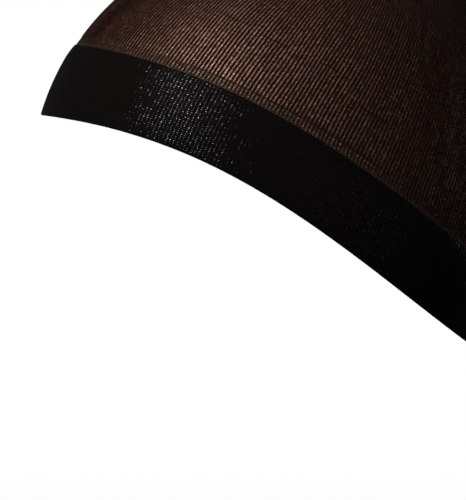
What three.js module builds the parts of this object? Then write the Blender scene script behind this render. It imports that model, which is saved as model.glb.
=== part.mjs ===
// Stocking wig cap: a sheer knitted crown on a wide double elastic band, in the form that it
// takes when it is stretched over a head. Units are millimetres, +Z is up, the front of the head
// is towards -Y and the wearer's left towards +X. The origin is the highest point of the inner
// face of the crown, where the cap sits on the head.
import * as THREE from 'three';
import { mergeVertices } from 'three/addons/utils/BufferGeometryUtils.js';

// The form inside the cap is an egg. Its half sizes are measured from its middle. Fullness is the
// power of a superellipse, which is 2 for an ellipse: the section across the head is a little
// fuller at the temples, and the section along it is fuller behind and above the middle.
const FORM = {
  halfWidth: 76,
  toForehead: 92.2,
  toBack: 100,
  toTop: 97.2,
  toNape: 120,
  fullness: 2.2,
  backFullness: 2.6,
  widening: 0.05 / 95, // share of the width gained for each millimetre towards the back
  lean: 0.01, // millimetres towards the forehead for each millimetre down from the top
};

// Every rib of the knit runs from the band to one pole, tilted back from the top of the head.
const POLE_TILT = THREE.MathUtils.degToRad(29);

// Height of each edge of the band as a polynomial in t, lowest power first, where t is the
// distance behind the middle of the head divided by EDGE_REACH. The band climbs from nape to
// forehead.
const EDGE_REACH = 90;
const LOWER_EDGE = [-100.4, -56, -22.5, 7, 5.3];
const UPPER_EDGE = [-68.5, -49, -20.3, 2, 2.6];

const GAP = 0.3; // between pieces that the real knit runs through without a break
const BAND = { thickness: 1.6, rows: 6, roundedEdge: 0.7, columns: 72 };
const JOIN = { thickness: 0.9, rows: 1, roundedEdge: 0, columns: 72, width: 3.3 };
const CROWN = { thickness: 0.6, rows: 20, roundedEdge: 0, columns: 72 };

// The plain button of gathered knit that closes the crown. Its fall is its reach from the pole.
const GATHER = { fall: 0.075, columns: 24, rows: 4, rimThickness: 0.6, height: 2.6 };

const BLACK_ELASTIC = { color: 0x0e0c0c, roughness: 0.55, metalness: 0 };
const SHEER_KNIT = { color: 0x3a2a24, roughness: 0.7, metalness: 0 };
const DENSE_KNIT = { color: 0x241a17, roughness: 0.65, metalness: 0 };

const MIDDLE_HEIGHT = -FORM.toTop;
const FULL_TURN = 2 * Math.PI;
const TOWARDS_POLE = new THREE.Vector3(0, Math.sin(POLE_TILT), Math.cos(POLE_TILT));
const TOWARDS_BACK = new THREE.Vector3(0, Math.cos(POLE_TILT), -Math.sin(POLE_TILT));
const TOWARDS_LEFT = new THREE.Vector3(1, 0, 0);

// Direction on the unit sphere that the form is stretched from. Swing turns about the pole, from
// the back of the head towards the wearer's left, and fall is the angle down from the pole.
function unitDirection(swing, fall) {
  return new THREE.Vector3()
    .addScaledVector(TOWARDS_POLE, Math.cos(fall))
    .addScaledVector(TOWARDS_BACK, Math.sin(fall) * Math.cos(swing))
    .addScaledVector(TOWARDS_LEFT, Math.sin(fall) * Math.sin(swing));
}

// Length of a vector with two parts by the rule of a superellipse with the given power.
function superLength(a, b, power) {
  return (Math.abs(a) ** power + Math.abs(b) ** power) ** (1 / power);
}

function formPoint(swing, fall) {
  const unit = unitDirection(swing, fall);
  const alongPower = unit.y > 0 && unit.z > 0 ? FORM.backFullness : 2;
  const along = superLength(unit.y, unit.z, alongPower);
  const point = unit.divideScalar(superLength(unit.x, along, FORM.fullness));
  point.y *= point.y < 0 ? FORM.toForehead : FORM.toBack;
  point.z *= point.z < 0 ? FORM.toNape : FORM.toTop;
  point.x *= FORM.halfWidth * (1 + FORM.widening * point.y);
  point.z += MIDDLE_HEIGHT;
  point.y += FORM.lean * point.z;
  return point;
}

// Unit vector out of the form at a point, from its slopes along and around the ribs.
function outwardAt(swing, fall) {
  const step = 1e-3;
  const down = formPoint(swing, fall + step).sub(formPoint(swing, fall - step));
  const around = formPoint(swing + step, fall).sub(formPoint(swing - step, fall));
  return around.cross(down).normalize();
}

// Point at a lift above the form, straight out from it. At the pole the two slopes vanish.
function liftedPoint(swing, fall, lift) {
  const outward = outwardAt(swing, Math.max(fall, 0.01));
  return formPoint(swing, fall).addScaledVector(outward, lift);
}

function edgeHeight(edge, y) {
  const t = y / EDGE_REACH;
  return edge.reduceRight((height, coefficient) => height * t + coefficient, 0);
}

// Fall at which a rib crosses an edge of the band, found by halving the interval.
function fallAtEdge(swing, edge) {
  let above = 0.5;
  let below = 2.2;
  for (let halving = 0; halving < 40; halving += 1) {
    const middle = (above + below) / 2;
    const point = formPoint(swing, middle);
    if (point.z > edgeHeight(edge, point.y)) above = middle;
    else below = middle;
  }
  return above;
}

// Fall that lies a short length further down the same rib, or up it if the length is negative.
function fallFurther(swing, fall, length) {
  const step = 0.01;
  const reach = formPoint(swing, fall).distanceTo(formPoint(swing, fall + step));
  return fall + (step * length) / reach;
}

function bandBottom(swing) {
  return fallAtEdge(swing, LOWER_EDGE);
}

function bandTop(swing) {
  return fallAtEdge(swing, UPPER_EDGE);
}

function joinTop(swing) {
  return fallFurther(swing, bandTop(swing), -(GAP + JOIN.width));
}

// Points once around a wall's section: up its outer face, then down its inner face. A rounded
// edge adds a row close to each end, and narrows the wall to half its thickness at the end.
function wallSection(swing, bottomFall, topFall, wall) {
  const rows = [];
  for (let row = 0; row <= wall.rows; row += 1) {
    const fall = THREE.MathUtils.lerp(bottomFall, topFall, row / wall.rows);
    rows.push({ fall, inset: 0 });
  }
  if (wall.roundedEdge > 0) {
    rows[0].inset = wall.thickness / 4;
    rows[wall.rows].inset = wall.thickness / 4;
    rows.splice(1, 0, { fall: fallFurther(swing, bottomFall, -wall.roundedEdge), inset: 0 });
    rows.splice(-1, 0, { fall: fallFurther(swing, topFall, wall.roundedEdge), inset: 0 });
  }
  const outer = rows.map(({ fall, inset }) => liftedPoint(swing, fall, wall.thickness - inset));
  const inner = rows.map(({ fall, inset }) => liftedPoint(swing, fall, inset));
  return [...outer, ...inner.reverse()];
}

// Section of the gather: along its domed outer face to the rim, and back along the inner face.
function gatherSection(swing) {
  const outer = [];
  const inner = [];
  const rimFall = fallFurther(swing, GATHER.fall, -GAP);
  for (let row = 0; row <= GATHER.rows; row += 1) {
    const share = row / GATHER.rows;
    const dome = (GATHER.height - GATHER.rimThickness) * Math.cos((share * Math.PI) / 2);
    outer.push(liftedPoint(swing, rimFall * share, GATHER.rimThickness + dome));
    inner.push(liftedPoint(swing, rimFall * share, 0));
  }
  return [...outer.reverse(), ...inner];
}

// Closed body swept once around the pole from a section that closes on itself. Points that meet
// on the pole are merged, and the triangles that this makes empty are left out.
function sweepAroundPole(sectionAt, columns) {
  const sections = [];
  for (let column = 0; column < columns; column += 1) {
    sections.push(sectionAt((column / columns) * FULL_TURN));
  }
  const rows = sections[0].length;
  const corner = (column, row) => (column % columns) * rows + (row % rows);
  const corners = [];
  for (let column = 0; column < columns; column += 1) {
    for (let row = 0; row < rows; row += 1) {
      const here = corner(column, row);
      const next = corner(column + 1, row);
      const hereUp = corner(column, row + 1);
      const nextUp = corner(column + 1, row + 1);
      corners.push(here, nextUp, next, here, hereUp, nextUp);
    }
  }
  const swept = new THREE.BufferGeometry().setFromPoints(sections.flat());
  swept.setIndex(corners);
  const merged = mergeVertices(swept, 1e-4);
  const kept = [];
  for (let first = 0; first < merged.index.count; first += 3) {
    const [a, b, c] = merged.index.array.slice(first, first + 3);
    if (a !== b && b !== c && c !== a) kept.push(a, b, c);
  }
  merged.setIndex(kept);
  merged.computeVertexNormals();
  return merged;
}

function makePiece(name, geometry, finish) {
  const piece = new THREE.Mesh(geometry, new THREE.MeshStandardMaterial(finish));
  piece.name = name;
  return piece;
}

// Wide opaque band: the knit turned double over itself, with its fold at the lower edge.
function makeBand() {
  const section = (swing) => wallSection(swing, bandBottom(swing), bandTop(swing), BAND);
  return makePiece('band', sweepAroundPole(section, BAND.columns), BLACK_ELASTIC);
}

// Narrow strip of closer courses where the band's knit thins out into the sheer crown.
function makeJoinCourses() {
  const section = (swing) => {
    const bottomFall = fallFurther(swing, bandTop(swing), -GAP);
    return wallSection(swing, bottomFall, joinTop(swing), JOIN);
  };
  return makePiece('join_courses', sweepAroundPole(section, JOIN.columns), DENSE_KNIT);
}

// Sheer dome of one layer, from the closer courses up to the gather.
function makeCrown() {
  const section = (swing) => {
    const bottomFall = fallFurther(swing, joinTop(swing), -GAP);
    return wallSection(swing, bottomFall, GATHER.fall, CROWN);
  };
  return makePiece('crown', sweepAroundPole(section, CROWN.columns), SHEER_KNIT);
}

// Button of drawn-in knit at the pole, which closes the end of the knitted tube.
function makeCrownGather() {
  return makePiece('crown_gather', sweepAroundPole(gatherSection, GATHER.columns), DENSE_KNIT);
}

const group = new THREE.Group();
group.add(makeBand(), makeJoinCourses(), makeCrown(), makeCrownGather());

export default group;
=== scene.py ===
"""Stocking wig cap: a sheer knitted crown on a wide double elastic band, dressed for a studio.

The cap is shown in the form that it takes on a head. Its cloth is one knitted tube of ribs, so
every surface is worked out in the cloth's own coordinates: a rib's number around the head and a
share of the way up from the band to the pole where the ribs meet. Lengths are in metres, +Z is
up, the forehead is towards -Y and the wearer's left towards +X.
"""

import logging
import math
from dataclasses import dataclass, field
from enum import IntEnum

import bpy
import numpy as np
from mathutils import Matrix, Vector


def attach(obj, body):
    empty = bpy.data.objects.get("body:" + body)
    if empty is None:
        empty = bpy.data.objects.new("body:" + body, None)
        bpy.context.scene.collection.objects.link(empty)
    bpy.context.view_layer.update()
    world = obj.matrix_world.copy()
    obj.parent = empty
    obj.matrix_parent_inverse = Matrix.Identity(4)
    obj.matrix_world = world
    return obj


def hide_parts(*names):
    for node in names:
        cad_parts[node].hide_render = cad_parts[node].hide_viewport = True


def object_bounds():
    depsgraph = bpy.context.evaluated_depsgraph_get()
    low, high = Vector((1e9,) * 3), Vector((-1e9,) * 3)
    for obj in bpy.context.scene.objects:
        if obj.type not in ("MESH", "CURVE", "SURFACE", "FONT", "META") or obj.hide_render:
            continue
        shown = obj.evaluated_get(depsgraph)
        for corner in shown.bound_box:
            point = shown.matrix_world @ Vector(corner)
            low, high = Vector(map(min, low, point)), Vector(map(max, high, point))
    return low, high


MM = 0.001
FULL_TURN = 2 * math.pi

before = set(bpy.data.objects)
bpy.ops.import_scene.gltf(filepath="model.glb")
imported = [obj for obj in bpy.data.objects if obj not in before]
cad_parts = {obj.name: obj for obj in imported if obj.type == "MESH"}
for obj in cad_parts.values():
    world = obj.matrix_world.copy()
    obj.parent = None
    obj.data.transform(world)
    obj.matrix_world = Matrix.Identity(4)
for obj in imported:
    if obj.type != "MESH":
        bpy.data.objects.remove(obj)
CAD_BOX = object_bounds()
log = logging.getLogger("wig_cap")

Source = bpy.types.NodeSocket | float | tuple


# ------------------------------------------------------------------------------ head form


@dataclass(frozen=True)
class HeadForm:
    """The egg inside the cap: a superellipse across the head, and another behind its middle.

    A place on it is given by swing, the turn about the pole from the back of the head towards
    the wearer's left, and fall, the angle down from the pole.
    """

    half_width: float = 76 * MM
    to_forehead: float = 92.2 * MM
    to_back: float = 100 * MM
    to_top: float = 97.2 * MM
    to_nape: float = 120 * MM
    fullness: float = 2.2
    back_fullness: float = 2.6
    widening: float = 0.05 / (95 * MM)
    lean: float = 0.01
    pole_tilt: float = math.radians(29)

    def point(self, swing: np.ndarray, fall: np.ndarray) -> np.ndarray:
        """Points of the form.

        A unit vector is built from the pole, back and left directions, divided by its
        superellipse length, and stretched by the half size on its side of the middle. Along the
        head the power is 2, as in an ellipse, but larger above and behind the middle. The width
        grows a little towards the back, and the whole form leans back a little towards its top.

        Args:
            swing: Turn about the pole, in radians.
            fall: Angle down from the pole, in radians.

        Returns:
            Points, with X, Y and Z along the last axis.
        """
        swing, fall = np.broadcast_arrays(swing, fall)
        pole = np.array([0, math.sin(self.pole_tilt), math.cos(self.pole_tilt)])
        back = np.array([0, math.cos(self.pole_tilt), -math.sin(self.pole_tilt)])
        left = np.array([1.0, 0, 0])
        unit = (
            np.cos(fall)[..., None] * pole
            + (np.sin(fall) * np.cos(swing))[..., None] * back
            + (np.sin(fall) * np.sin(swing))[..., None] * left
        )
        size = np.abs(unit)
        power = np.where((unit[..., 1] > 0) & (unit[..., 2] > 0), self.back_fullness, 2.0)
        along = (size[..., 1] ** power + size[..., 2] ** power) ** (1 / power)
        length = (size[..., 0] ** self.fullness + along**self.fullness) ** (1 / self.fullness)
        unit = unit / length[..., None]
        y = unit[..., 1] * np.where(unit[..., 1] < 0, self.to_forehead, self.to_back)
        z = unit[..., 2] * np.where(unit[..., 2] < 0, self.to_nape, self.to_top)
        x = unit[..., 0] * self.half_width * (1 + self.widening * y)
        z = z - self.to_top
        return np.stack([x, y + self.lean * z, z], axis=-1)

    def outward(self, swing: np.ndarray, fall: np.ndarray) -> np.ndarray:
        """Unit vectors out of the form: the cross product of its slopes down and around.

        Args:
            swing: Turn about the pole, in radians.
            fall: Angle down from the pole, in radians. The slopes vanish at the pole itself.

        Returns:
            Vectors, with X, Y and Z along the last axis.
        """
        step = 1e-3
        fall = np.maximum(fall, 0.01)
        down = self.point(swing, fall + step) - self.point(swing, fall - step)
        around = self.point(swing + step, fall) - self.point(swing - step, fall)
        normal = np.cross(around, down)
        return normal / np.linalg.norm(normal, axis=-1, keepdims=True)


@dataclass(frozen=True)
class BandEdge:
    """Height of an edge of the band: a polynomial in y / reach, in millimetres, low power first."""

    powers: tuple
    reach: float = 90 * MM

    def height(self, y: np.ndarray) -> np.ndarray:
        """Height of the edge over each y."""
        return np.polynomial.polynomial.polyval(y / self.reach, self.powers) * MM

    def fall(self, form: HeadForm, swing: np.ndarray) -> np.ndarray:
        """Fall at which each swing crosses the edge, by halving the interval.

        Args:
            form: The form that the band lies on.
            swing: Turn about the pole, in radians.

        Returns:
            Fall for each swing, in radians.
        """
        above, below = np.full_like(swing, 0.5), np.full_like(swing, 2.2)
        for _ in range(40):
            middle = (above + below) / 2
            point = form.point(swing, middle)
            higher = point[..., 2] > self.height(point[..., 1])
            above = np.where(higher, middle, above)
            below = np.where(higher, below, middle)
        return above


LOWER_EDGE = BandEdge(powers=(-100.4, -56, -22.5, 7, 5.3))
UPPER_EDGE = BandEdge(powers=(-68.5, -49, -20.3, 2, 2.6))


@dataclass
class Ribs:
    """Where the ribs of the knitted tube lie on the form.

    Ribs are spaced evenly along each edge of the band, so that in the band they run from edge to
    edge, and above it they keep their swing and meet at the pole. Rib 0 is at the middle of the
    back, and the numbers grow towards the wearer's left.
    """

    form: HeadForm
    count: int = 360
    samples: int = 4
    wander: float = 0.22
    band_wander: float = 0.3
    band_slowness: float = 0.2
    crown_fade_in: float = 8.0
    edge_steps: int = 2880
    length_steps: int = 80
    number: np.ndarray = field(init=False)
    low: tuple = field(init=False)
    high: tuple = field(init=False)

    def __post_init__(self) -> None:
        """Finds each column's swing and fall at both edges of the band."""
        columns = self.count * self.samples
        self.number = np.arange(columns) / self.samples
        self.low = self._spaced_along(LOWER_EDGE)
        self.high = self._spaced_along(UPPER_EDGE)

    def _spaced_along(self, edge: BandEdge) -> tuple:
        """Places of the columns along an edge of the band.

        The edge's length is added up step by step, and each column takes the swing at its even
        share of that length.

        Args:
            edge: The edge to space them along.

        Returns:
            Swing and fall of each column.
        """
        swing = np.linspace(0, FULL_TURN, self.edge_steps + 1)
        point = self.form.point(swing, edge.fall(self.form, swing))
        steps = np.linalg.norm(np.diff(point, axis=0), axis=1)
        travelled = np.concatenate([[0], np.cumsum(steps)])
        wanted = self.number / self.count * travelled[-1]
        spaced = np.interp(wanted, travelled, swing)
        return spaced, edge.fall(self.form, spaced)

    def meander(self, share: np.ndarray) -> np.ndarray:
        """Small sideways wander of the ribs: three slow waves around the head and upwards.

        Args:
            share: Share of the way from the band's upper edge to the pole.

        Returns:
            Change of swing, in radians.
        """
        around = self.number / self.count * FULL_TURN
        rise = np.asarray(share) * FULL_TURN
        waves = (
            np.sin(5 * around + 1.7 * rise)
            + 0.7 * np.sin(13 * around - 2.3 * rise + 1.1)
            + 0.2 * np.sin(31 * around + 3.1 * rise + 2.6)
        )
        return self.wander * FULL_TURN / self.count * waves

    def in_band(self, station: np.ndarray) -> tuple:
        """Swing and fall across the band.

        Args:
            station: One height for each row, from 0 at the lower edge to 1 at the upper edge.

        Returns:
            Swing and fall, each with a row for each station and a column for each sample.
        """
        station = np.asarray(station)[:, None]
        swing = self.low[0] + (self.high[0] - self.low[0]) * station
        fall = self.low[1] + (self.high[1] - self.low[1]) * station
        return swing + self.meander(station * self.band_slowness) * self.band_wander, fall

    def in_crown(self, share: np.ndarray) -> tuple:
        """Swing and fall above the band.

        Args:
            share: Share of the way up each rib, from 0 at the band's upper edge to 1 at the pole.

        Returns:
            Swing and fall, each with a row for each share and a column for each sample.
        """
        share = np.asarray(share)
        swing = np.broadcast_to(self.high[0], np.broadcast(share, self.high[0]).shape)
        fade = np.clip(share * self.crown_fade_in, 0, 1)
        return swing + self.meander(share) * fade, self.high[1] * (1 - share)

    def rib_lengths(self) -> np.ndarray:
        """Length of each column from the band's upper edge to the pole, in short steps.

        Returns:
            One length for each column, in metres.
        """
        share = np.linspace(0, 1, self.length_steps + 1)[:, None]
        point = self.form.point(self.high[0], self.high[1] * (1 - share))
        return np.linalg.norm(np.diff(point, axis=0), axis=-1).sum(axis=0)


# ---------------------------------------------------------------------------------- meshes


class Side(IntEnum):
    """Which face of the cloth a row of quads belongs to, as the mesh's material index."""

    FACE = 0
    BACK = 1


def new_object(name: str, mesh: bpy.types.Mesh) -> bpy.types.Object:
    """Puts a mesh in the scene as an object at the origin."""
    piece = bpy.data.objects.new(name, mesh)
    bpy.context.scene.collection.objects.link(piece)
    return piece


def swept_mesh(
    name: str,
    points: np.ndarray,
    loops: tuple,
    sides: np.ndarray,
) -> bpy.types.Mesh:
    """A closed wall from a grid whose rows go once round its section and columns round the head.

    Row i, column j joins to row i + 1 and column j + 1, and both wrap. The UV map holds the rib
    number and the course number, which go on past the seam instead of wrapping.

    Args:
        name: The mesh's name.
        points: Grid of points, rows by columns by 3.
        loops: Rib number for each column, with one more at the end, and course number for each
            grid point.
        sides: The Side of the quads above each row.

    Returns:
        The mesh, smooth shaded, with its UV map.
    """
    rows, columns = points.shape[:2]
    ribs, courses = loops
    row, column = np.meshgrid(np.arange(rows), np.arange(columns), indexing="ij")
    row_up, column_on = (row + 1) % rows, (column + 1) % columns
    quads = np.stack(
        [
            row * columns + column,
            row_up * columns + column,
            row_up * columns + column_on,
            row * columns + column_on,
        ],
        axis=-1,
    ).reshape(-1, 4)
    rib = np.stack([ribs[column], ribs[column], ribs[column + 1], ribs[column + 1]], axis=-1)
    course = np.stack(
        [
            courses[row, column],
            courses[row_up, column],
            courses[row_up, column_on],
            courses[row, column_on],
        ],
        axis=-1,
    )
    uv = np.stack([rib, course], axis=-1).reshape(-1, 2)
    mesh = mesh_from_faces(name, points.reshape(-1, 3), quads)
    mesh.uv_layers.new(name="knit").data.foreach_set("uv", uv.astype(np.float32).ravel())
    index = np.repeat(np.asarray(sides, np.int32), columns)
    mesh.polygons.foreach_set("material_index", index)
    mesh.update()
    return mesh


def mesh_from_faces(name: str, points: np.ndarray, faces: np.ndarray) -> bpy.types.Mesh:
    """A smooth mesh from points and faces that all have the same number of corners.

    Args:
        name: The mesh's name.
        points: Rows of X, Y and Z.
        faces: Rows of point numbers, one row for each face.

    Returns:
        The mesh.
    """
    corners = faces.shape[1]
    mesh = bpy.data.meshes.new(name)
    mesh.vertices.add(len(points))
    mesh.vertices.foreach_set("co", points.astype(np.float32).ravel())
    mesh.loops.add(faces.size)
    mesh.loops.foreach_set("vertex_index", faces.astype(np.int32).ravel())
    mesh.polygons.add(len(faces))
    mesh.polygons.foreach_set("loop_start", np.arange(0, faces.size, corners, dtype=np.int32))
    mesh.polygons.foreach_set("use_smooth", np.ones(len(faces), bool))
    mesh.update(calc_edges=True)
    return mesh


def arc(centre: tuple, radius: float, start: float, end: float, count: int) -> np.ndarray:
    """Points of a circular arc in a wall's section.

    Args:
        centre: Station and lift of the arc's centre.
        radius: The arc's radius.
        start: Angle of the first point, in degrees.
        end: Angle of the last point, in degrees.
        count: How many points.

    Returns:
        Rows of station and lift.
    """
    angle = np.radians(np.linspace(start, end, count))
    station = centre[0] + radius * np.cos(angle)
    lift = centre[1] + radius * np.sin(angle)
    return np.stack([station, lift], axis=-1)


def straight(start: tuple, end: tuple, count: int) -> np.ndarray:
    """Evenly spaced (station, lift) rows of a straight stretch of a wall's section."""
    return np.linspace(start, end, count)


def pleat_wave(pleats: int, swing: np.ndarray) -> np.ndarray:
    """Height of pleats from -1 to 1: a cosine around the pole whose pleats vary in width."""
    return np.cos(pleats * swing + 1.3 * np.sin(3 * swing))


# ------------------------------------------------------------------------------- materials


class Bench:
    """A material under construction. Its methods add nodes, so that a pattern reads as sums."""

    def __init__(self, name: str) -> None:
        """Starts an empty material with the cloth's rib and course numbers ready to read."""
        self.material = bpy.data.materials.new(name)
        self.material.use_nodes = True
        self.tree = self.material.node_tree
        self.tree.nodes.clear()
        uv = self.add("ShaderNodeUVMap", uv_map="knit")
        self.loops = uv.outputs["UV"]
        split = self.add("ShaderNodeSeparateXYZ")
        self.join(self.loops, split.inputs[0])
        self.rib, self.course = split.outputs[0], split.outputs[1]

    def add(self, kind: str, **settings: object) -> bpy.types.Node:
        """Adds a node.

        Args:
            kind: The node's Blender type.
            **settings: Properties to set on it.

        Returns:
            The node.
        """
        node = self.tree.nodes.new(kind)
        for key, value in settings.items():
            setattr(node, key, value)
        return node

    def join(self, source: Source, target: bpy.types.NodeSocket) -> None:
        """Feeds a socket from another socket, or sets it to a plain value.

        Args:
            source: The socket or value to take.
            target: The input to feed.
        """
        if isinstance(source, bpy.types.NodeSocket):
            self.tree.links.new(source, target)
        else:
            target.default_value = source

    def math(self, operation: str, *values: Source) -> bpy.types.NodeSocket:
        """One arithmetic step.

        Args:
            operation: Blender's name for the step.
            *values: Sockets or numbers, in the node's order.

        Returns:
            The result's socket.
        """
        node = self.add("ShaderNodeMath", operation=operation)
        for source, target in zip(values, node.inputs):
            self.join(source, target)
        return node.outputs[0]

    def times(self, a: Source, b: Source) -> bpy.types.NodeSocket:
        """Product of two values."""
        return self.math("MULTIPLY", a, b)

    def plus(self, a: Source, b: Source) -> bpy.types.NodeSocket:
        """Sum of two values."""
        return self.math("ADD", a, b)

    def larger(self, a: Source, b: Source) -> bpy.types.NodeSocket:
        """Larger of two values."""
        return self.math("MAXIMUM", a, b)

    def rise(self, value: Source, start: float, end: float) -> bpy.types.NodeSocket:
        """0 before start, 1 after end, and a smooth step between them.

        Args:
            value: The socket or number to test.
            start: Where the step begins.
            end: Where it ends.

        Returns:
            The step's socket.
        """
        node = self.add("ShaderNodeMapRange", interpolation_type="SMOOTHSTEP")
        self.join(value, node.inputs["Value"])
        node.inputs["From Min"].default_value = start
        node.inputs["From Max"].default_value = end
        return node.outputs["Result"]

    def drop(self, value: Source, start: float, end: float) -> bpy.types.NodeSocket:
        """1 before start, 0 after end, and a smooth step between them."""
        return self.math("SUBTRACT", 1.0, self.rise(value, start, end))

    def spread(self, value: Source, low: float, high: float) -> bpy.types.NodeSocket:
        """Spreads a value from 0 to 1 over low to high."""
        return self.math("MULTIPLY_ADD", value, high - low, low)

    def in_stitch(self) -> tuple:
        """Offsets across and up from the middle of a stitch's hole, from -0.5 to 0.5."""
        across = self.plus(self.math("FRACT", self.rib), -0.5)
        up = self.plus(self.math("FRACT", self.course), -0.5)
        return across, up

    def stitch_noise(self, seed: float) -> bpy.types.NodeSocket:
        """A random value for each stitch.

        Args:
            seed: A number that sets this pattern apart from the others.

        Returns:
            A socket with values from 0 to 1.
        """
        floor = self.add("ShaderNodeVectorMath", operation="FLOOR")
        self.join(self.loops, floor.inputs[0])
        node = self.add("ShaderNodeTexWhiteNoise", noise_dimensions="4D")
        self.join(floor.outputs[0], node.inputs["Vector"])
        node.inputs["W"].default_value = seed
        return node.outputs["Value"]

    def clouds(self, scale: float) -> bpy.types.NodeSocket:
        """Smooth noise through space, with no seam at the back of the head.

        Args:
            scale: How many clouds there are to a metre.

        Returns:
            A socket with values from 0 to 1.
        """
        place = self.add("ShaderNodeTexCoord")
        node = self.add("ShaderNodeTexNoise")
        self.join(place.outputs["Object"], node.inputs["Vector"])
        node.inputs["Scale"].default_value = scale
        node.inputs["Detail"].default_value = 2.0
        return node.outputs["Fac"]

    def scaled(self, colour: Source, amount: Source) -> bpy.types.NodeSocket:
        """A colour made lighter or darker.

        Args:
            colour: The colour to change.
            amount: The factor to change it by.

        Returns:
            The new colour's socket.
        """
        node = self.add("ShaderNodeVectorMath", operation="SCALE")
        self.join(colour, node.inputs[0])
        self.join(amount, node.inputs["Scale"])
        return node.outputs[0]

    def from_rib(self) -> bpy.types.NodeSocket:
        """Distance from the nearest rib's middle, 0 on the rib and 0.5 in the gap."""
        return self.math("PINGPONG", self.rib, 0.5)

    def from_course(self) -> bpy.types.NodeSocket:
        """Distance from the nearest course, 0 on it and 0.5 between two."""
        return self.math("PINGPONG", self.course, 0.5)

    def every_other_course(self) -> bpy.types.NodeSocket:
        """0 on one course and 1 on the next, all the way up."""
        return self.math("PINGPONG", self.math("FLOOR", self.course), 1.0)

    def per_rib(self) -> bpy.types.NodeSocket:
        """A random value that stays the same along each rib.

        Returns:
            A socket with values from 0 to 1.
        """
        node = self.add("ShaderNodeTexWhiteNoise", noise_dimensions="1D")
        self.join(self.math("FLOOR", self.plus(self.rib, 0.5)), node.inputs["W"])
        return node.outputs["Value"]

    def blend(self, share: Source, first: Source, second: Source) -> bpy.types.NodeSocket:
        """A colour between two others.

        Args:
            share: How far to go, from 0 for the first to 1 for the second.
            first: Red, green and blue, or a colour's socket.
            second: Red, green and blue, or a colour's socket.

        Returns:
            The mixed colour's socket.
        """
        node = self.add("ShaderNodeMix", data_type="RGBA")
        self.join(share, node.inputs["Factor"])
        for source, target in ((first, node.inputs[6]), (second, node.inputs[7])):
            self.join((*source, 1.0) if isinstance(source, tuple) else source, target)
        return node.outputs[2]

    def bump(self, height: Source, distance: float) -> bpy.types.NodeSocket:
        """A normal tilted by relief in the surface.

        Args:
            height: Height of the relief, from 0 to 1.
            distance: What a height of 1 stands for, in metres.

        Returns:
            The normal's socket.
        """
        node = self.add("ShaderNodeBump")
        node.inputs["Distance"].default_value = distance
        self.join(height, node.inputs["Height"])
        return node.outputs["Normal"]

    def tilted(self, normal: bpy.types.NodeSocket, amount: float) -> bpy.types.NodeSocket:
        """A normal that leans a random way on each stitch.

        Args:
            normal: The normal to start from.
            amount: The most that each part of the unit vector changes.

        Returns:
            The new normal's socket.
        """
        floor = self.add("ShaderNodeVectorMath", operation="FLOOR")
        self.join(self.loops, floor.inputs[0])
        noise = self.add("ShaderNodeTexWhiteNoise", noise_dimensions="3D")
        self.join(floor.outputs[0], noise.inputs["Vector"])
        centred = self.add("ShaderNodeVectorMath", operation="MULTIPLY_ADD")
        self.join(noise.outputs["Color"], centred.inputs[0])
        centred.inputs[1].default_value = (2 * amount,) * 3
        centred.inputs[2].default_value = (-amount,) * 3
        total = self.add("ShaderNodeVectorMath", operation="ADD")
        self.join(normal, total.inputs[0])
        self.join(centred.outputs[0], total.inputs[1])
        unit = self.add("ShaderNodeVectorMath", operation="NORMALIZE")
        self.join(total.outputs[0], unit.inputs[0])
        return unit.outputs[0]

    def finish(self, **inputs: Source) -> bpy.types.Material:
        """Ends with one Principled shader.

        Args:
            **inputs: What feeds each input, named as the input is, with _ for a space.

        Returns:
            The finished material.
        """
        shader = self.add("ShaderNodeBsdfPrincipled")
        for key, value in inputs.items():
            self.join(value, shader.inputs[key.replace("_", " ")])
        output = self.add("ShaderNodeOutputMaterial")
        self.join(shader.outputs[0], output.inputs["Surface"])
        return self.material


@dataclass(frozen=True)
class Slub:
    """A stretch of one course that is a little denser: its course, first and last rib.

    Its strength is 1 where it closes the holes, and it fades over soft_end ribs at each end.
    """

    course: float
    first_rib: float
    last_rib: float
    strength: float
    soft_end: float = 3


CROWN_SLUBS = (
    Slub(course=4.5, first_rib=70, last_rib=106, strength=1.0),
    Slub(course=5.5, first_rib=72, last_rib=102, strength=0.35),
    Slub(course=34.5, first_rib=119, last_rib=129, strength=0.4),
    Slub(course=32.5, first_rib=107, last_rib=118, strength=0.5),
    Slub(course=32.5, first_rib=92, last_rib=101, strength=0.5),
    Slub(course=51.5, first_rib=91, last_rib=101, strength=0.6),
    Slub(course=23.5, first_rib=74, last_rib=86, strength=0.8),
    Slub(course=26.5, first_rib=56, last_rib=64, strength=0.8),
    Slub(course=44.5, first_rib=232, last_rib=246, strength=0.8),
    Slub(course=29.5, first_rib=262, last_rib=275, strength=0.7),
    Slub(course=63.5, first_rib=301, last_rib=312, strength=0.6),
    Slub(course=78.5, first_rib=20, last_rib=33, strength=0.6),
)


def slub_mask(bench: Bench, slubs: tuple) -> Source:
    """Where the denser stretches lie: the largest of their soft-ended boxes.

    Args:
        bench: The material that they are for.
        slubs: The stretches.

    Returns:
        How closed each place is, from 0 to 1.
    """
    mask: Source = 0.0
    for slub in slubs:
        away = bench.math("ABSOLUTE", bench.plus(bench.course, -slub.course))
        across = bench.drop(away, 0.2, 0.6)
        started = bench.rise(bench.rib, slub.first_rib, slub.first_rib + slub.soft_end)
        ended = bench.drop(bench.rib, slub.last_rib - slub.soft_end, slub.last_rib)
        along = bench.times(started, ended)
        mask = bench.larger(mask, bench.times(bench.times(across, along), slub.strength))
    return mask


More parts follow.
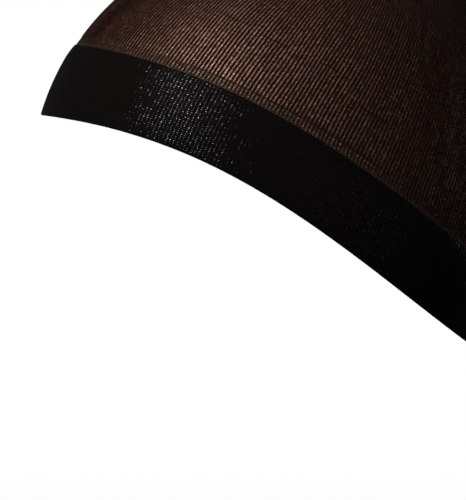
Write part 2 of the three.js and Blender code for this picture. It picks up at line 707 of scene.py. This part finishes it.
@dataclass(frozen=True)
class SheerKnit:
    """Sheer nylon knit: dark ribs, and between them rows of small holes, one for each stitch.

    The face has open holes. The back has glossy brown filament across them. A real cap has one
    open layer and no such filament: it stands in for the brown of a head, which would show
    through the holes when the cap is worn.
    """

    name: str = "sheer_knit"
    yarn_colour: tuple = (0.0170, 0.0042, 0.0020)
    sinker_colour: tuple = (0.040, 0.014, 0.009)
    filament_colour: tuple = (0.115, 0.046, 0.026)
    filament_gloss: tuple = (0.74, 0.46, 0.365)
    hole_half_width: float = 0.32
    hole_half_height: float = 0.62
    face_cover: float = 0.06
    filament_cover: float = 0.93
    sheen: float = 0.08
    sheen_roughness: float = 0.5
    slubs: tuple = CROWN_SLUBS
    # Lighter colour on the first course above the band: a painted highlight for the band's shoulder
    # catching the light. None leaves it out.
    first_course_highlight: tuple | None = None

    def _openness(self, bench: Bench) -> bpy.types.NodeSocket:
        """How open each place is, from 0 on yarn to 1 in a hole.

        A hole is an ellipse in the middle of its stitch. Each one has its own size, and each
        row of holes has its own width.

        Args:
            bench: The material under construction.

        Returns:
            The openness's socket.
        """
        across, up = bench.in_stitch()
        across = bench.plus(across, bench.spread(bench.stitch_noise(3.7), -0.06, 0.06))
        wide = bench.math("DIVIDE", across, bench.spread(bench.per_rib(), 0.88, 1.12))
        width = bench.math("POWER", bench.times(wide, 1 / self.hole_half_width), 2.0)
        height = bench.math("POWER", bench.times(up, 1 / self.hole_half_height), 2.0)
        radius = bench.math("SQRT", bench.plus(width, height))
        radius = bench.times(radius, bench.spread(bench.stitch_noise(1.3), 0.85, 1.25))
        opened = bench.drop(radius, 0.72, 1.12)
        if self.slubs:
            opened = bench.times(opened, bench.math("SUBTRACT", 1.0, slub_mask(bench, self.slubs)))
        return opened

    def face(self) -> bpy.types.Material:
        """Outer face: yarn in rounded loops, and holes that are almost clear.

        Returns:
            The material.
        """
        bench = Bench(self.name + "_face")
        opened = self._openness(bench)
        from_rib = bench.from_rib()
        between = bench.rise(from_rib, 0.24, 0.36)
        loop = bench.math("ABSOLUTE", bench.plus(bench.from_course(), bench.times(from_rib, -0.6)))
        height = bench.drop(loop, 0.02, 0.3)
        tone = bench.spread(bench.clouds(28.0), 0.75, 1.25)
        colour = bench.blend(between, self.yarn_colour, self.sinker_colour)
        # Painted highlight: the first course is coloured lighter, more on some stitches than on
        # others, for the light line where the band's shoulder catches the light.
        if self.first_course_highlight:
            near = bench.drop(bench.course, 0.9, 1.4)
            first = bench.times(near, bench.spread(bench.stitch_noise(7.7), 0.3, 1.0))
            colour = bench.blend(first, colour, self.first_course_highlight)
        return bench.finish(
            Base_Color=bench.scaled(colour, tone),
            Alpha=bench.math("MULTIPLY_ADD", opened, self.face_cover - 1.0, 1.0),
            Roughness=bench.spread(bench.math("POWER", bench.stitch_noise(5.1), 3.0), 0.75, 0.30),
            Normal=bench.bump(height, 0.06 * MM),
            IOR=1.53,
            Specular_IOR_Level=0.03,
            Sheen_Weight=self.sheen,
            Sheen_Roughness=self.sheen_roughness,
        )

    def back(self) -> bpy.types.Material:
        """Inner face: the same yarn, and the stand-in filament that nearly closes each hole.

        Returns:
            The material.
        """
        bench = Bench(self.name + "_back")
        opened = self._openness(bench)
        uneven = bench.spread(bench.stitch_noise(8.9), 0.0, 2.0)
        alternate = bench.spread(bench.every_other_course(), 0.65, 1.35)
        tone = bench.times(bench.times(bench.spread(bench.clouds(22.0), 0.9, 1.1), alternate), uneven)
        colour = bench.blend(opened, self.yarn_colour, self.filament_colour)
        height = bench.drop(bench.from_course(), 0.05, 0.4)
        return bench.finish(
            Base_Color=bench.scaled(colour, tone),
            Alpha=bench.math("MULTIPLY_ADD", opened, self.filament_cover - 1.0, 1.0),
            Roughness=bench.spread(bench.math("POWER", bench.stitch_noise(6.4), 2.0), 0.6, 0.38),
            Normal=bench.tilted(bench.bump(height, 0.03 * MM), 0.10),
            IOR=2.2,
            Specular_IOR_Level=1.0,
            Specular_Tint=(*self.filament_gloss, 1.0),
        )


@dataclass(frozen=True)
class ElasticKnit:
    """Black double knit of the band: a lattice of small beads of yarn, glossy on their tops."""

    name: str = "elastic_knit"
    colour: tuple = (0.0034, 0.0022, 0.0020)
    gloss: float = 0.13
    dull: float = 0.85
    sheen: float = 0.05
    sheen_roughness: float = 0.45

    def material(self) -> bpy.types.Material:
        """Builds the material: each bead is highest in the middle of its stitch.

        Returns:
            The material.
        """
        bench = Bench(self.name)
        across, up = bench.in_stitch()
        across = bench.drop(bench.math("ABSOLUTE", across), 0.10, 0.40)
        up = bench.math("ABSOLUTE", up)
        shape = bench.times(across, bench.drop(up, 0.02, 0.28))
        top = bench.times(across, bench.drop(up, 0.06, 0.16))
        alternate = bench.spread(bench.every_other_course(), 0.45, 1.0)
        glint = bench.times(bench.math("POWER", bench.stitch_noise(2.2), 2.0), alternate)
        on_top = bench.times(top, bench.spread(glint, 0.08, 1.0))
        return bench.finish(
            Base_Color=(*self.colour, 1.0),
            Roughness=self.dull,
            Normal=bench.tilted(bench.bump(shape, 0.02 * MM), 0.08),
            IOR=1.53,
            Specular_IOR_Level=0.06,
            Coat_Weight=on_top,
            Coat_Roughness=self.gloss,
            Coat_Normal=bench.tilted(bench.bump(shape, 0.02 * MM), 0.08),
            Coat_IOR=1.85,
            Sheen_Weight=self.sheen,
            Sheen_Roughness=self.sheen_roughness,
        )


# ------------------------------------------------------------------------------ the cloth


@dataclass(frozen=True)
class Wall:
    """Lifts above the form, in one wall of cloth, where ribs stand out as rounded ridges."""

    face: float
    face_ridge: float
    back: float
    back_ridge: float = 0.03 * MM


@dataclass
class ElasticBand:
    """The wide double band: knit turned over on itself with its fold at the lower edge."""

    ribs: Ribs
    thickness: float = 1.45 * MM
    thin_edge: float = 0.95 * MM
    thinning: float = 6 * MM
    ridge: float = 0.08 * MM
    shoulder: float = 0.5 * MM
    width: float = 28.6 * MM
    courses: int = 35
    inner_end: float = 0.2 * MM
    rim_lift: float = 0.1 * MM
    back_ridge_share: float = 0.4
    face_rows: int = 28
    back_rows: int = 10

    def section(self) -> tuple:
        """Rows once round the wall: up the face, over the shoulder, down the back, round the fold.

        Returns:
            (station, lift) rows in metres, and the share of the ridges that each row shows.
        """
        t, s, w = self.thickness, self.shoulder, self.width
        face = straight((t / 2, t), (w - s, t), self.face_rows)
        near_edge = np.clip(1 - (w - s - face[:, 0]) / self.thinning, 0, 1)
        face[:, 1] -= (t - self.thin_edge) * near_edge**2
        over = arc((w - s, self.thin_edge - s), s, 90, 0, 5)[1:]
        rim = straight((w, self.thin_edge - s), (w, self.rim_lift), 3)[1:]
        back = straight((w - self.inner_end, 0), (t / 2, 0), self.back_rows)
        fold = arc((t / 2, t / 2), t / 2, 270, 90, 9)[1:-1]
        rows = np.concatenate([face, over, rim, back, fold])
        ridge = np.concatenate(
            [
                np.full(len(face), 1.0),
                np.linspace(0.9, 0.3, len(over)),
                np.full(len(rim), 0.0),
                np.full(len(back), 0.5),
                np.linspace(0.6, 1.0, len(fold)),
            ]
        )
        return rows, ridge

    def build(self) -> bpy.types.Object:
        """Makes the band: its section carried round the head, with ridges along the ribs.

        The ridges are a cosine of the rib number. On the back they are lower and turned over.

        Returns:
            The band.
        """
        rows, ridge = self.section()
        station = rows[:, 0] / self.width
        swing, fall = self.ribs.in_band(station)
        wave = 0.5 - 0.5 * np.cos(FULL_TURN * self.ribs.number)
        outside = (rows[:, 1] > self.thin_edge / 2)[:, None]
        ridge_height = np.where(outside, 1, -self.back_ridge_share) * self.ridge
        lift = rows[:, 1][:, None] + ridge_height * (ridge[:, None] * (wave - 0.5))
        lift = np.maximum(lift, 0)
        form = self.ribs.form
        points = form.point(swing, fall) + lift[..., None] * form.outward(swing, fall)
        numbers = np.append(self.ribs.number, self.ribs.count)
        courses = np.broadcast_to(station[:, None] * self.courses, lift.shape)
        sides = np.full(len(rows), Side.FACE)
        mesh = swept_mesh("band_knit", points, (numbers, courses), sides)
        piece = new_object("band_knit", mesh)
        piece.data.materials.append(ElasticKnit().material())
        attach(piece, "root")
        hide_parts("band")
        return piece


@dataclass
class SheerCrown:
    """The sheer dome, from above the join to the gather at the pole.

    It has two skins: the knitted face, and behind it the filament that stands in for a head.
    """

    ribs: Ribs
    wall: Wall = Wall(face=0.48 * MM, face_ridge=0.14 * MM, back=0.24 * MM)
    start: float = 3.3 * MM
    gather_fall: float = 0.072
    courses: int = 165
    pleats: int = 30
    pleat_lift: float = 0.35 * MM
    deepest_pleat: float = 0.1 * MM
    back_pleat_share: float = 0.5
    pleat_reach: float = 0.22
    lip: float = 0.16 * MM
    first_step: float = 0.004
    face_rows: int = 42
    back_rows: int = 23
    row_bunching: float = 0.95
    ridge_fade_fall: float = 0.08
    ridge_fade_reach: float = 0.35
    least_share: float = 0.12

    def build(self) -> bpy.types.Object:
        """Makes the crown: two skins of ribs that fade into soft pleats at the gather.

        Each skin's lift is its wall's, plus a cosine of the rib number that shrinks towards the
        pole, plus pleats that shrink away from it. The skins draw together at the lower edge.

        Returns:
            The crown.
        """
        lengths = self.ribs.rib_lengths()
        first = self.start / lengths
        last = 1 - self.gather_fall / self.ribs.high[1]
        up = np.linspace(self.first_step, 1, self.face_rows) ** self.row_bunching
        up = np.append(0, up)
        down = np.append(np.linspace(1, self.first_step, self.back_rows), 0)
        step = np.concatenate([up, down])[:, None]
        share = first + (last - first) * step
        swing, fall = self.ribs.in_crown(share)
        form = self.ribs.form
        ridge_fade = (fall - self.ridge_fade_fall) / self.ridge_fade_reach
        wave = np.cos(FULL_TURN * self.ribs.number) * np.clip(ridge_fade, self.least_share, 1)
        pleat_fade = np.clip(1 - (fall - self.gather_fall) / self.pleat_reach, 0, 1) ** 2
        pleat = pleat_wave(self.pleats, swing) * self.pleat_lift * pleat_fade
        face_lift = self.wall.face - self.lip * np.clip(1 - step / self.first_step, 0, 1)
        face = face_lift + self.wall.face_ridge * wave + np.maximum(pleat, -self.deepest_pleat)
        back_lift = self.wall.back * np.clip(step / self.first_step, self.least_share, 1)
        back_pleat = np.maximum(pleat, 0) * self.back_pleat_share
        back = back_lift - self.wall.back_ridge * wave + back_pleat
        is_face = (np.arange(len(step)) < len(up))[:, None]
        lift = np.where(is_face, face, back)
        points = form.point(swing, fall) + lift[..., None] * form.outward(swing, fall)
        courses = share * self.courses
        numbers = np.append(self.ribs.number, self.ribs.count)
        sides = np.where(is_face[:, 0], Side.FACE, Side.BACK)
        mesh = swept_mesh("crown_knit", points, (numbers, courses), sides)
        piece = new_object("crown_knit", mesh)
        piece.data.materials.append(SheerKnit().face())
        piece.data.materials.append(SheerKnit().back())
        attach(piece, "root")
        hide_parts("crown")
        return piece


@dataclass
class JoinCourses:
    """The narrow strip of closer courses between the band and the sheer knit."""

    ribs: Ribs
    wall: Wall = Wall(face=0.5 * MM, face_ridge=0.13 * MM, back=0.12 * MM)
    tuck: float = 0.5 * MM
    width: float = 3.4 * MM
    taper: float = 0.2 * MM
    face_rows: int = 8
    back_rows: int = 4
    crown_courses: int = 165

    def build(self) -> bpy.types.Object:
        """Makes the strip, whose lower rows tuck under the band's shoulder.

        Its face is lowered by the taper at the top and rises in a straight slope towards the
        band, with ridges that are a cosine of the rib number.

        Returns:
            The strip.
        """
        lengths = self.ribs.rib_lengths()
        up = np.linspace(-self.tuck, self.width, self.face_rows)
        down = np.linspace(self.width, -self.tuck, self.back_rows)
        station = np.concatenate([up, down])[:, None]
        share = station / lengths
        swing, fall = self.ribs.in_crown(share)
        form = self.ribs.form
        wave = np.cos(FULL_TURN * self.ribs.number)
        is_face = (np.arange(len(station)) < len(up))[:, None]
        slope = np.clip(self.width - station, 0, None) / self.width * self.taper
        face = self.wall.face - self.taper + slope + self.wall.face_ridge * wave
        back = self.wall.back - self.wall.back_ridge * wave
        lift = np.where(is_face, face, back)
        points = form.point(swing, fall) + lift[..., None] * form.outward(swing, fall)
        courses = share * self.crown_courses
        numbers = np.append(self.ribs.number, self.ribs.count)
        sides = np.where(is_face[:, 0], Side.FACE, Side.BACK)
        mesh = swept_mesh("join_courses_knit", points, (numbers, courses), sides)
        piece = new_object("join_courses_knit", mesh)
        finish = SheerKnit(
            name="dense_knit",
            yarn_colour=(0.020, 0.0095, 0.0070),
            sinker_colour=(0.044, 0.022, 0.016),
            filament_colour=(0.15, 0.066, 0.040),
            filament_gloss=(0.50, 0.335, 0.265),
            hole_half_width=0.31,
            hole_half_height=0.43,
            filament_cover=0.96,
            slubs=(),
            # Painted highlight along the band's shoulder, laid on the strip's first course.
            first_course_highlight=(0.052, 0.030, 0.020),
        )
        piece.data.materials.append(finish.face())
        piece.data.materials.append(finish.back())
        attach(piece, "root")
        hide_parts("join_courses")
        return piece


@dataclass
class CrownGather:
    """The drawn-in button of knit that closes the tube at the pole."""

    ribs: Ribs
    rim_fall: float = 0.076
    pleats: int = 30
    columns: int = 480
    height: float = 2.2 * MM
    rim_height: float = 0.45 * MM
    pleat_lift: float = 0.3 * MM
    back_lift: float = 0.03 * MM
    pole_gap: float = 0.02
    farthest_in: float = 0.8
    face_rows: int = 20
    back_rows: int = 6
    courses: int = 12

    def build(self) -> bpy.types.Object:
        """Makes the gather: a dome of pleats that dips where the thread draws it shut.

        Its lift is the rim's, plus a sine of the way in from the rim, which rises and then dips
        and stays level from farthest_in, plus pleats that fade at the rim and at the pole.

        Returns:
            The gather.
        """
        swing = np.arange(self.columns) / self.columns * FULL_TURN
        out = np.linspace(self.pole_gap, 1, self.face_rows)[:, None]
        back = np.linspace(1, self.pole_gap, self.back_rows)[:, None]
        reach = np.concatenate([out, back])
        fall = self.rim_fall * reach
        arch = np.sin(math.pi * np.clip(1 - out, 0, self.farthest_in)) ** 0.8
        dome = self.rim_height + (self.height - self.rim_height) * arch
        pleat = self.pleat_lift * pleat_wave(self.pleats, swing) * np.sin(math.pi * out) ** 0.5
        face = dome + pleat
        inner = np.full((len(back), self.columns), self.back_lift)
        lift = np.concatenate([face, inner])
        form = self.ribs.form
        grid_swing = np.broadcast_to(swing, lift.shape)
        grid_fall = np.broadcast_to(fall, lift.shape)
        points = form.point(grid_swing, grid_fall)
        points = points + lift[..., None] * form.outward(grid_swing, grid_fall)
        numbers = np.arange(self.columns + 1) / self.columns * self.ribs.count
        courses = np.broadcast_to((1 - reach) * self.courses, lift.shape)
        sides = np.full(len(reach), Side.FACE)
        mesh = swept_mesh("crown_gather_knit", points, (numbers, courses), sides)
        piece = new_object("crown_gather_knit", mesh)
        piece.data.materials.append(ElasticKnit(name="gathered_knit").material())
        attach(piece, "root")
        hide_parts("crown_gather")
        return piece


# -------------------------------------------------------------------------------- studio


@dataclass(frozen=True)
class Softbox:
    """An area light: its direction from the cap, distance, width, height and power in watts."""

    name: str
    direction: tuple
    distance: float
    width: float
    height: float
    power: float

    def place(self, target: Vector) -> None:
        """Puts the light in the scene, turned towards the target.

        Args:
            target: The point that it shines at.
        """
        light = bpy.data.lights.new(self.name, "AREA")
        light.shape = "RECTANGLE"
        light.size = self.width
        light.size_y = self.height
        light.energy = self.power
        lamp = bpy.data.objects.new(self.name, light)
        towards = Vector(self.direction).normalized()
        lamp.location = target + towards * self.distance
        lamp.rotation_euler = towards.to_track_quat("Z", "Y").to_euler()
        bpy.context.scene.collection.objects.link(lamp)


@dataclass
class Studio:
    """Pale floor and backdrop, soft lights, and a camera that looks slightly down."""

    camera_distance: float = 1.3
    camera_y: float = -15.4 * MM
    camera_z: float = -78.0 * MM
    look_at_z: float = -121.0 * MM
    lens: float = 240.0
    floor_drop: float = 0.25
    floor_reach: float = 8.0
    floor_glow: float = 0.8
    floor_colour: tuple = (0.82, 0.81, 0.80, 1)
    fade_start: float = 0.6
    fade_end: float = 2.2
    surround_light: float = 0.006
    lights: tuple = (
        Softbox("key_softbox", (0.77, -0.55, 0.55), 0.45, 0.070, 0.30, 1.3),
        Softbox("fill_softbox", (0.8, 0.4, -0.02), 2.4, 1.6, 0.5, 1.0),
        Softbox("back_softbox", (-0.9, 0.35, 0.25), 2.0, 1.0, 1.0, 3.0),
        Softbox("rear_softbox", (-0.3, 1.0, -0.02), 2.0, 1.2, 0.5, 5.0),
    )

    def build(self) -> None:
        """Sets up the camera, world, floor and lights."""
        low, high = CAD_BOX
        middle = (low + high) / 2
        self._camera()
        self._world()
        self._floor(low.z - self.floor_drop)
        for light in self.lights:
            light.place(middle)
        bpy.context.scene.view_settings.view_transform = "Standard"

    def _camera(self) -> None:
        """A long lens that looks along -X at the wearer's left side."""
        camera = bpy.data.cameras.new("camera")
        camera.lens = self.lens
        camera.clip_end = 50
        stand = bpy.data.objects.new("camera", camera)
        stand.location = (self.camera_distance, self.camera_y, self.camera_z)
        downward = math.atan2(self.camera_z - self.look_at_z, self.camera_distance)
        stand.rotation_euler = (math.pi / 2 - downward, 0, math.pi / 2)
        bpy.context.scene.collection.objects.link(stand)
        bpy.context.scene.camera = stand

    def _world(self) -> None:
        """A white surround that is seen at full strength and lights the cap only a little."""
        world = bpy.data.worlds.new("surround")
        bpy.context.scene.world = world
        world.use_nodes = True
        tree = world.node_tree
        tree.nodes.clear()
        path = tree.nodes.new("ShaderNodeLightPath")
        seen = tree.nodes.new("ShaderNodeBackground")
        seen.inputs["Strength"].default_value = 1.0
        lighting = tree.nodes.new("ShaderNodeBackground")
        lighting.inputs["Strength"].default_value = self.surround_light
        mix = tree.nodes.new("ShaderNodeMixShader")
        output = tree.nodes.new("ShaderNodeOutputWorld")
        for background in (seen, lighting):
            background.inputs["Color"].default_value = (1, 1, 1, 1)
        tree.links.new(path.outputs["Is Camera Ray"], mix.inputs[0])
        tree.links.new(lighting.outputs[0], mix.inputs[1])
        tree.links.new(seen.outputs[0], mix.inputs[2])
        tree.links.new(mix.outputs[0], output.inputs[0])

    def _floor(self, height: float) -> None:
        """A wide pale floor that fades into the surround away from the cap.

        Args:
            height: Its height, in metres.
        """
        reach = self.floor_reach
        corners = np.array([[-reach, -reach], [reach, -reach], [reach, reach], [-reach, reach]])
        points = np.column_stack([corners, np.full(4, height)])
        mesh = mesh_from_faces("floor", points, np.array([[0, 1, 2, 3]]))
        floor = new_object("floor", mesh)
        material = bpy.data.materials.new("pale_floor")
        material.use_nodes = True
        tree = material.node_tree
        tree.nodes.clear()
        place = tree.nodes.new("ShaderNodeTexCoord")
        length = tree.nodes.new("ShaderNodeVectorMath")
        length.operation = "LENGTH"
        fade = tree.nodes.new("ShaderNodeMapRange")
        fade.interpolation_type = "SMOOTHSTEP"
        fade.inputs["From Min"].default_value = self.fade_start
        fade.inputs["From Max"].default_value = self.fade_end
        fade.inputs["To Min"].default_value = self.floor_glow
        near = tree.nodes.new("ShaderNodeBsdfDiffuse")
        near.inputs["Color"].default_value = self.floor_colour
        far = tree.nodes.new("ShaderNodeEmission")
        mix = tree.nodes.new("ShaderNodeMixShader")
        output = tree.nodes.new("ShaderNodeOutputMaterial")
        tree.links.new(place.outputs["Object"], length.inputs[0])
        tree.links.new(length.outputs["Value"], fade.inputs["Value"])
        tree.links.new(fade.outputs["Result"], mix.inputs[0])
        tree.links.new(near.outputs[0], mix.inputs[1])
        tree.links.new(far.outputs[0], mix.inputs[2])
        tree.links.new(mix.outputs[0], output.inputs["Surface"])
        floor.data.materials.append(material)
        floor.visible_diffuse = False
        floor.visible_glossy = False


def main() -> None:
    """Builds the cap and the studio, and reports each piece."""
    logging.basicConfig(level=logging.INFO, format="%(name)s: %(message)s")
    ribs = Ribs(HeadForm())
    makers = (ElasticBand(ribs), JoinCourses(ribs), SheerCrown(ribs), CrownGather(ribs))
    for maker in makers:
        piece = maker.build()
        log.info("%s: %d faces", piece.name, len(piece.data.polygons))
    Studio().build()


if __name__ == "__main__":
    main()
